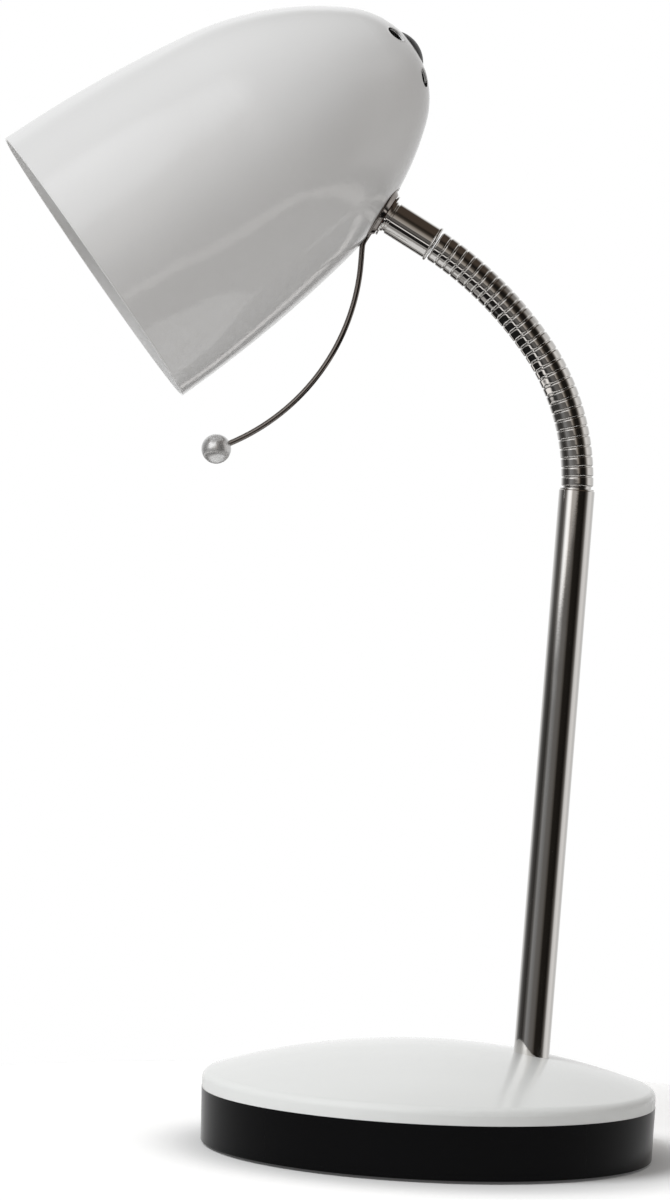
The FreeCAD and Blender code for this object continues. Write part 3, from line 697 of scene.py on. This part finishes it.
@dataclass(frozen=True)
class Gooseneck:
    """The bending neck, in millimetres.

    Each plated length has two flat ridges, and a ball at its lower end that fills the gap at its joint.
    """

    SLOPE_STEP: ClassVar[float] = 0.01
    RING_DIGITS: ClassVar[int] = 7
    SIDEWAYS: ClassVar[Triple] = (0.0, 1.0, 0.0)

    pitch: float = 6.9
    ridges_per_link: int = 2
    ridge_radius: float = 5.7
    groove_radius: float = 5.28
    ridge_share: float = 0.86
    squareness: float = 8.0
    points_per_ridge: int = 20
    steps: int = 72
    ball_radius: float = 5.0
    ball_reach: float = 2.6
    ball_points: int = 8
    mouth_radius: float = 4.7
    stem_lean: float = 2.0

    def joint_places(self) -> list[Vector]:
        """Finds the joints of the neck, from the stem up.

        Returns:
            Their places in metres.
        """
        neck = [joint for joint in frame["joints"] if joint["name"].startswith("gooseneck")]
        order = ["base"] + [f"link_{number:02d}" for number in range(1, len(neck))] + ["collar"]
        neck.sort(key=lambda joint: order.index(joint["child"]))
        return [Vector(joint["pos_m"]) for joint in neck]

    def profile(self) -> list[Pair]:
        """Draws the outside of one length, from its ball to its socket's mouth.

        Returns:
            The radius and height of each point, from the lower joint.
        """
        points = []
        for index in range(self.ball_points):
            height = -self.ball_reach * (1 - index / self.ball_points)
            points.append((math.sqrt(self.ball_radius**2 - height**2), height))
        points.append((self.ball_radius, 0.0))
        spacing = self.pitch / self.ridges_per_link
        count = self.points_per_ridge * self.ridges_per_link
        for index in range(count + 1):
            height = self.pitch * index / count
            phase = (height / spacing) % 1.0
            across = min(abs(phase - 0.5) / (self.ridge_share / 2), 1.0)
            swell = (1.0 - across**self.squareness) ** (1.0 / self.squareness)
            points.append((self.groove_radius + (self.ridge_radius - self.groove_radius) * swell, height))
        points.append((self.mouth_radius, self.pitch))
        return points

    def length(self, name: str, way_in: Vector, low: Vector, high: Vector, way_out: Vector) -> bpy.types.Object:
        """Makes one length of the neck, curved so that it runs on from its neighbours at rest.

        Args:
            name: the piece's name.
            way_in: the neck's direction at the lower joint.
            low: the lower joint.
            high: the upper joint.
            way_out: the neck's direction at the upper joint.

        Returns:
            The length's object.
        """
        shape = spun(self.profile(), self.steps)
        rings: dict[float, list[bmesh.types.BMVert]] = {}
        for vert in shape.verts:
            rings.setdefault(round(vert.co.z, self.RING_DIGITS), []).append(vert)
        chord = (high - low).length
        start, end = way_in * chord, way_out * chord
        for height, verts in rings.items():
            share = height / (self.pitch * MM)
            if share <= 0.0:
                place, way = low + way_in * height, way_in
            else:
                place = self._between(low, high, start, end, share)
                ahead = self._between(low, high, start, end, share + self.SLOPE_STEP)
                behind = self._between(low, high, start, end, share - self.SLOPE_STEP)
                way = ahead - behind
            spot = frame_at(place, way, Vector(self.SIDEWAYS))
            bmesh.ops.transform(shape, matrix=spot @ Matrix.Translation((0.0, 0.0, -height)), verts=verts)
        return finished_mesh(name, shape, SHARP_ON_TURNED)

    @staticmethod
    def _between(low: Vector, high: Vector, start: Vector, end: Vector, share: float) -> Vector:
        """Finds a place on the smooth curve between two points.

        Args:
            low: the first point.
            high: the last point.
            start: the slope at the first point.
            end: the slope at the last point.
            share: how far along, from 0 to 1.

        Returns:
            The place.
        """
        square, cube = share**2, share**3
        rise = 3 * square - 2 * cube
        return low * (1 - rise) + high * rise + start * (cube - 2 * square + share) + end * (cube - square)

    def _stem_way(self) -> Vector:
        """Gives the direction of the stem.

        Returns:
            The direction, from the stem's lean in degrees.
        """
        lean = math.radians(self.stem_lean)
        return Vector((math.sin(lean), 0.0, math.cos(lean)))

    def build(self, palette: Palette) -> None:
        """Builds, dresses and hangs every length.

        Args:
            palette: the finishes.
        """
        joints = self.joint_places()
        swivel = next(Vector(joint["pos_m"]) for joint in frame["joints"] if joint["name"] == "shade_swivel")
        chain = joints + [swivel]
        runs = [(after - before).normalized() for before, after in zip(chain, chain[1:])]
        ways = [(before + after).normalized() for before, after in zip([self._stem_way()] + runs, runs)]
        for number in range(1, len(joints)):
            low, high = joints[number - 1], joints[number]
            piece = self.length(f"sleeve_{number:02d}", ways[number - 1], low, high, ways[number])
            palette.dress(piece, "chrome")
            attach(piece, f"link_{number:02d}")
            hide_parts(f"neck_link_{number:02d}")
            log.info("%s on link_%02d", piece.name, number)


@dataclass(frozen=True)
class Shade:
    """The trim of the shade, in millimetres: its lip, the rims of its vents, its plug and a dark bead round the
    cup, which is painted shade.
    """

    section_points: int = 16
    mouth_radius: float = 54.9
    wall: float = 0.9
    lip_cover: float = 0.03
    lip_seat: float = 0.55
    lip_steps: int = 240
    crown_radius: float = 32.185
    crown_centre: float = 105.269
    vent_radius: float = 3.5
    vent_circle: float = 15.5
    vent_count: int = 5
    vent_first_angle: float = 33.0
    rim_thickness: float = 0.36
    rim_sink: float = 0.2
    rim_steps: int = 64
    plug_radius: float = 7.4
    plug_edge: float = 136.5
    plug_rise: float = 2.7
    plug_skirt: float = 1.2
    plug_taper: float = 0.3
    plug_points: int = 24
    plug_steps: int = 96
    swivel: Triple = (-31.271, 0.0, 331.2355)
    swivel_axis: Triple = (0.8688, 0.0, -0.4952)
    wire_way: Triple = (-0.4952, -0.035, -0.8688)
    # The dark bead round the cup is painted shade for the shadowed gap at the flange.
    bead_ring: float = 10.3
    bead_radius: float = 0.6
    bead_rise: float = 1.0
    bead_gap: float = 0.27
    bead_steps: int = 160

    def _place(self) -> Matrix:
        """Gives the shade's frame.

        Returns:
            The frame in the lamp's, in metres.
        """
        return frame_at(Vector(SHADE_MOUTH_MM) * MM, Vector(SHADE_AXIS), Vector(SHADE_SIDE))

    @staticmethod
    def _hang(piece: bpy.types.Object, palette: Palette, finish: str, slot: str) -> None:
        """Dresses a piece and hangs it on the body that the shade is on.

        Args:
            piece: the piece.
            palette: the finishes.
            finish: the piece's finish.
            slot: the record's slot for it; not used.
        """
        palette.dress(piece, finish)
        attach(piece, "head")
        log.info("%s on head", piece.name)

    def lip(self, palette: Palette) -> None:
        """Makes the rounded edge of the mouth.

        Args:
            palette: the finishes.
        """
        half = self.wall / 2 + self.lip_cover
        centre = (self.mouth_radius - self.wall / 2, half * self.lip_seat)
        shape = spun(circle(centre, half, self.section_points), self.lip_steps, closed=True)
        bmesh.ops.transform(shape, matrix=self._place(), verts=shape.verts[:])
        self._hang(finished_mesh("mouth_lip", shape, SHARP_ON_ROUND), palette, "shade_white", "shade_white")

    def vent_rims(self, palette: Palette) -> None:
        """Makes the rounded edges of the vents, which follow the dome of the crown.

        Args:
            palette: the finishes.
        """
        section = circle((self.vent_radius, 0.0), self.rim_thickness, self.section_points)
        for number in range(self.vent_count):
            shape = spun(section, self.rim_steps, closed=True)
            way = math.radians(self.vent_first_angle + DEGREES_ROUND / self.vent_count * number)
            spot = Vector((math.cos(way), math.sin(way), 0.0)) * self.vent_circle * MM
            bmesh.ops.translate(shape, vec=spot, verts=shape.verts[:])
            for vert in shape.verts:
                reach = vert.co.xy.length / MM
                dome = self.crown_centre + math.sqrt(self.crown_radius**2 - reach**2) - self.rim_sink
                vert.co.z += dome * MM
            bmesh.ops.transform(shape, matrix=self._place(), verts=shape.verts[:])
            piece = finished_mesh(f"vent_rim_{number + 1}", shape, SHARP_ON_ROUND)
            self._hang(piece, palette, "shade_white", "shade_white")

    def plug(self, palette: Palette) -> None:
        """Makes the domed head of the plug in the crown.

        Args:
            palette: the finishes.
        """
        dome = (self.plug_radius**2 + self.plug_rise**2) / (2 * self.plug_rise)
        reach = math.asin(self.plug_radius / dome)
        foot = self.plug_edge - self.plug_skirt
        profile = [(0.0, foot), (self.plug_radius - self.plug_taper, foot)]
        for index in range(self.plug_points + 1):
            slope = reach * (1 - index / self.plug_points)
            height = self.plug_edge + self.plug_rise - dome * (1 - math.cos(slope))
            profile.append((dome * math.sin(slope), height))
        shape = spun(profile, self.plug_steps)
        bmesh.ops.transform(shape, matrix=self._place(), verts=shape.verts[:])
        piece = finished_mesh("crown_plug_head", shape, SHARP_ON_TURNED)
        self._hang(piece, palette, "black_plastic", "black_plastic")
        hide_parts("crown_plug")

    def bead(self, palette: Palette) -> None:
        """Makes a dark bead round the cup's flange, open where the wire leaves: painted shade for the shadowed gap
        between the flange and the shade.

        Args:
            palette: the finishes.
        """
        section = circle((self.bead_ring, self.bead_rise), self.bead_radius, self.section_points)
        shape = spun(section, self.bead_steps, closed=True, gap=self.bead_gap)
        spot = frame_at(Vector(self.swivel) * MM, Vector(self.swivel_axis), Vector(self.wire_way))
        turned = spot @ Matrix.Rotation(self.bead_gap / 2, 4, "Z")
        bmesh.ops.transform(shape, matrix=turned, verts=shape.verts[:])
        self._hang(finished_mesh("cup_shadow_bead", shape, SHARP_ON_TURNED), palette, "shade_darkened_chrome", "chrome")

    def build(self, palette: Palette) -> None:
        """Builds and dresses the trim.

        Args:
            palette: the finishes.
        """
        self.lip(palette)
        self.vent_rims(palette)
        self.plug(palette)
        self.bead(palette)


@dataclass(frozen=True)
class Surround:
    """The light all round the lamp.

    Plated parts mirror it: bright panels and windows round the horizon, a brown ceiling, tables on dark ground
    and one softbox. Other surfaces get a soft light, and the camera sees white.
    """

    # The angle from the front in degrees, the light and its warmth.
    PANELS: ClassVar[tuple[Triple, ...]] = (
        (-180, 1.0, 0.0),
        (-140, 0.60, 0.0),
        (-122, 0.20, 0.0),
        (-103, 0.06, 0.1),
        (-80, 0.035, 0.15),
        (-66, 0.10, 0.1),
        (-54, 0.24, 0.0),
        (-40, 0.20, 0.0),
        (-26, 0.14, 0.12),
        (-8, 0.12, 0.15),
        (4, 0.07, 0.3),
        (12, 0.016, 0.4),
        (50, 0.010, 0.4),
        (60, 0.05, 0.3),
        (70, 0.18, 0.15),
        (82, 0.68, 0.04),
        (100, 0.80, 0.04),
        (126, 0.60, 0.03),
        (150, 0.75, 0.0),
        (180, 1.0, 0.0),
    )
    WINDOWS: ClassVar[tuple[Triple, ...]] = (
        (-180, 1.0, 0.0),
        (-140, 0.60, 0.0),
        (-122, 0.30, 0.0),
        (-104, 0.09, 0.1),
        (-84, 0.08, 0.15),
        (-70, 0.25, 0.1),
        (-58, 0.95, 0.0),
        (-50, 1.25, 0.0),
        (-38, 1.15, 0.05),
        (-28, 0.48, 0.15),
        (-4, 0.42, 0.15),
        (6, 0.32, 0.3),
        (14, 0.06, 0.5),
        (24, 0.012, 0.4),
        (50, 0.010, 0.4),
        (62, 0.08, 0.3),
        (72, 0.40, 0.15),
        (84, 0.78, 0.05),
        (126, 0.62, 0.03),
        (150, 0.75, 0.0),
        (180, 1.0, 0.0),
    )
    # How far down a direction points, and the light there.
    TABLES: ClassVar[tuple[Pair, ...]] = (
        (0.0, 0.05),
        (0.35, 0.04),
        (0.39, 1.0),
        (0.42, 1.0),
        (0.46, 0.012),
        (0.68, 0.012),
        (0.71, 0.5),
        (0.74, 0.2),
        (0.80, 0.4),
        (1.0, 0.5),
    )
    TABLE_TINT: ClassVar[Triple] = (1.0, 0.97, 0.94)
    GREEN_LOSS: ClassVar[float] = 0.35
    BLUE_LOSS: ClassVar[float] = 0.7

    sill_heights: Pair = (0.020, 0.032)
    ceiling_heights: Pair = (0.55, 0.8)
    ceiling_colour: Triple = (0.060, 0.045, 0.034)
    ground_heights: Pair = (-0.16, -0.30)
    softbox_way: Triple = (-0.45, -0.67, 0.59)
    softbox_edge: Pair = (0.85, 0.96)
    softbox_colour: Triple = (1.25, 1.25, 1.25)
    soft_colour: Triple = (1.0, 0.975, 0.95)
    soft_way: Triple = (-0.62, -0.25, 0.74)
    soft_level: float = 0.40
    soft_lean: float = 0.10
    soft_below: float = 0.72
    soft_below_power: float = 2.0

    def _horizon(self, graph: Graph, share: object, stops: tuple[Triple, ...]) -> bpy.types.NodeSocket:
        """Gives the light round the horizon.

        Args:
            graph: the world's builder.
            share: the place round the horizon, from 0 to 1, with the front at one half.
            stops: the angle, the light and its warmth at each stop.

        Returns:
            The colour.
        """
        colours = []
        for angle, light, warmth in stops:
            green, blue = light * (1 - self.GREEN_LOSS * warmth), light * (1 - self.BLUE_LOSS * warmth)
            colours.append((angle / DEGREES_ROUND + 0.5, (light, green, blue)))
        return graph.ramp(share, colours)

    def _tables(self, graph: Graph, height: bpy.types.NodeSocket) -> bpy.types.NodeSocket:
        """Gives the dark ground round the floor, with the bright edges of the tables on it.

        Args:
            graph: the world's builder.
            height: how high a direction points.

        Returns:
            The colour.
        """
        red, green, blue = self.TABLE_TINT
        stops = [(place, (light * red, light * green, light * blue)) for place, light in self.TABLES]
        return graph.ramp(graph.maths("MULTIPLY", height, -1.0), stops)

    def _mirrored(self, graph: Graph, way: bpy.types.NodeSocket) -> bpy.types.NodeSocket:
        """Gives the room that plated and glossy parts mirror.

        Args:
            graph: the world's builder.
            way: the direction.

        Returns:
            The colour.
        """
        east, north, height = graph.add("ShaderNodeSeparateXYZ", Vector=way).outputs
        turn = graph.maths("ARCTAN2", east, graph.maths("MULTIPLY", north, -1.0))
        share = graph.maths("ADD", graph.maths("DIVIDE", turn, math.tau), 0.5)
        panels = self._horizon(graph, share, self.PANELS)
        windows = self._horizon(graph, share, self.WINDOWS)
        room = graph.mix(graph.span(height, self.sill_heights), panels, windows)
        ceiling = graph.span(height, self.ceiling_heights, smooth=True)
        room = graph.mix(ceiling, room, opaque(self.ceiling_colour))
        ground = graph.span(height, self.ground_heights, smooth=True)
        room = graph.mix(ground, room, self._tables(graph, height))
        facing = graph.vectors("DOT_PRODUCT", way, self.softbox_way)
        softbox = graph.span(facing, self.softbox_edge, smooth=True)
        return graph.mix(softbox, room, opaque(self.softbox_colour))

    def _soft_strength(self, graph: Graph, way: bpy.types.NodeSocket) -> bpy.types.NodeSocket:
        """Gives the strength of the soft light, a little stronger from the main light's side and from below.

        Args:
            graph: the world's builder.
            way: the direction.

        Returns:
            The strength.
        """
        height = graph.add("ShaderNodeSeparateXYZ", Vector=way).outputs[2]
        lean = graph.vectors("DOT_PRODUCT", way, self.soft_way)
        level = graph.maths("ADD", graph.maths("MULTIPLY", lean, self.soft_lean), self.soft_level)
        below = graph.maths("MAXIMUM", graph.maths("MULTIPLY", height, -1.0), 0.0)
        rising = graph.maths("POWER", below, self.soft_below_power)
        return graph.maths("ADD", level, graph.maths("MULTIPLY", rising, self.soft_below))

    def build(self) -> None:
        """Builds the world."""
        world = bpy.data.worlds.new("studio")
        bpy.context.scene.world = world
        world.use_nodes = True
        graph = Graph(world.node_tree)
        way = graph.add("ShaderNodeTexCoord").outputs["Generated"]
        mirrored = graph.add("ShaderNodeBackground", Color=self._mirrored(graph, way), Strength=1.0)
        strength = self._soft_strength(graph, way)
        soft = graph.add("ShaderNodeBackground", Color=opaque(self.soft_colour), Strength=strength)
        plain = graph.add("ShaderNodeBackground", Color=opaque(WHITE), Strength=1.0)
        rays = graph.add("ShaderNodeLightPath")
        inner = graph.add("ShaderNodeMixShader", Fac=rays.outputs["Is Glossy Ray"])
        graph.feed(inner.inputs[1], soft.outputs[0])
        graph.feed(inner.inputs[2], mirrored.outputs[0])
        outer = graph.add("ShaderNodeMixShader", Fac=rays.outputs["Is Camera Ray"])
        graph.feed(outer.inputs[1], inner.outputs[0])
        graph.feed(outer.inputs[2], plain.outputs[0])
        end = graph.add("ShaderNodeOutputWorld")
        graph.feed(end.inputs["Surface"], outer.outputs[0])


@dataclass(frozen=True)
class Studio:
    """The camera, the main light and the pale floor, in metres."""

    eye: Triple = (-0.0409, -1.4158, 0.1968)
    target: Triple = (-0.0409, 0.0, 0.19286)
    roll: float = 0.0454
    lens: float = 120.0
    sensor: float = 36.0
    near_clip: float = 0.05
    far_clip: float = 60.0
    key_way: Triple = (-0.567, -0.36, 0.74)
    key_colour: Triple = (0.965, 0.985, 1.0)
    key_strength: float = 1.85
    key_spread: float = 0.5
    floor_reach: float = 0.25
    floor_drop: float = 0.0002
    floor_segments: int = 96
    floor_bounce: float = 0.86
    floor_lift: float = 1.14
    floor_glow: float = 0.06
    # A painted shadow round the base: the floor's colour is darkened by distance from this point, between these
    # radii, down to this level.
    shadow_centre: Triple = (0.004, -0.006, 0.0)
    shadow_radii: Pair = (0.074, 0.112)
    shadow_level: float = 0.62

    def camera(self) -> None:
        """Sets the camera."""
        data = bpy.data.cameras.new("lamp_view")
        data.lens = self.lens
        data.sensor_width = self.sensor
        data.clip_start = self.near_clip
        data.clip_end = self.far_clip
        eye, target = Vector(self.eye), Vector(self.target)
        ahead = (target - eye).normalized()
        right = Vector((math.cos(self.roll), 0.0, math.sin(self.roll)))
        right = (right - ahead * right.dot(ahead)).normalized()
        up = right.cross(ahead)
        turned = Matrix((right, up, -ahead)).transposed().to_4x4()
        turned.translation = eye
        camera = bpy.data.objects.new("lamp_view", data)
        camera.matrix_world = turned
        bpy.context.scene.collection.objects.link(camera)
        bpy.context.scene.camera = camera

    def key(self) -> None:
        """Hangs the soft main light, high on the left and a little in front."""
        data = bpy.data.lights.new("key", "SUN")
        data.energy = self.key_strength
        data.color = self.key_colour
        data.angle = self.key_spread
        lamp = bpy.data.objects.new("key", data)
        lamp.rotation_mode = "QUATERNION"
        lamp.rotation_quaternion = Vector(self.key_way).to_track_quat("Z", "Y")
        lamp.visible_glossy = False
        bpy.context.scene.collection.objects.link(lamp)

    def _floor_material(self) -> bpy.types.Material:
        """Makes the floor's paper: white to the camera where light reaches it, with a painted shadow that darkens
        it close to the base.

        Returns:
            The material.
        """
        made = bpy.data.materials.new("floor_white")
        made.use_nodes = True
        graph = Graph(made.node_tree)
        seen = graph.add("ShaderNodeLightPath").outputs["Is Camera Ray"]
        place = graph.add("ShaderNodeTexCoord").outputs["Object"]
        # painted shadow: the paper darkens towards the base by distance alone
        away = graph.vectors("DISTANCE", place, self.shadow_centre)
        painted_shadow_share = graph.span(away, self.shadow_radii, (self.shadow_level, 1.0), smooth=True)
        lifted = graph.maths("MULTIPLY", painted_shadow_share, self.floor_lift)
        paper = graph.add("ShaderNodeBsdfDiffuse", Color=graph.span(seen, target=(self.floor_bounce, lifted)))
        strength = graph.maths("MULTIPLY", seen, self.floor_glow)
        glow = graph.add("ShaderNodeEmission", Color=opaque(WHITE), Strength=strength)
        both = graph.add("ShaderNodeAddShader")
        graph.feed(both.inputs[0], paper.outputs[0])
        graph.feed(both.inputs[1], glow.outputs[0])
        end = graph.add("ShaderNodeOutputMaterial")
        graph.feed(end.inputs["Surface"], both.outputs[0])
        return made

    def floor(self) -> None:
        """Lays the floor, just under the lamp."""
        shape = bmesh.new()
        bmesh.ops.create_circle(shape, cap_ends=True, segments=self.floor_segments, radius=self.floor_reach)
        bmesh.ops.translate(shape, vec=(0.0, 0.0, -self.floor_drop), verts=shape.verts[:])
        floor = finished_mesh("floor", shape)
        floor.data.materials.append(self._floor_material())

    def build(self) -> None:
        """Sets up the whole studio."""
        bpy.context.scene.view_settings.view_transform = "Standard"
        self.camera()
        self.key()
        self.floor()
        Surround().build()
        log.info("studio ready")


def main() -> None:
    """Builds and dresses the lamp."""
    logging.basicConfig(level=logging.INFO, format="%(name)s: %(message)s")
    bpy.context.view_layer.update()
    palette = Palette()
    palette.dress_nodes()
    Gooseneck().build(palette)
    Shade().build(palette)
    Studio().build()


if __name__ == "__main__":
    main()
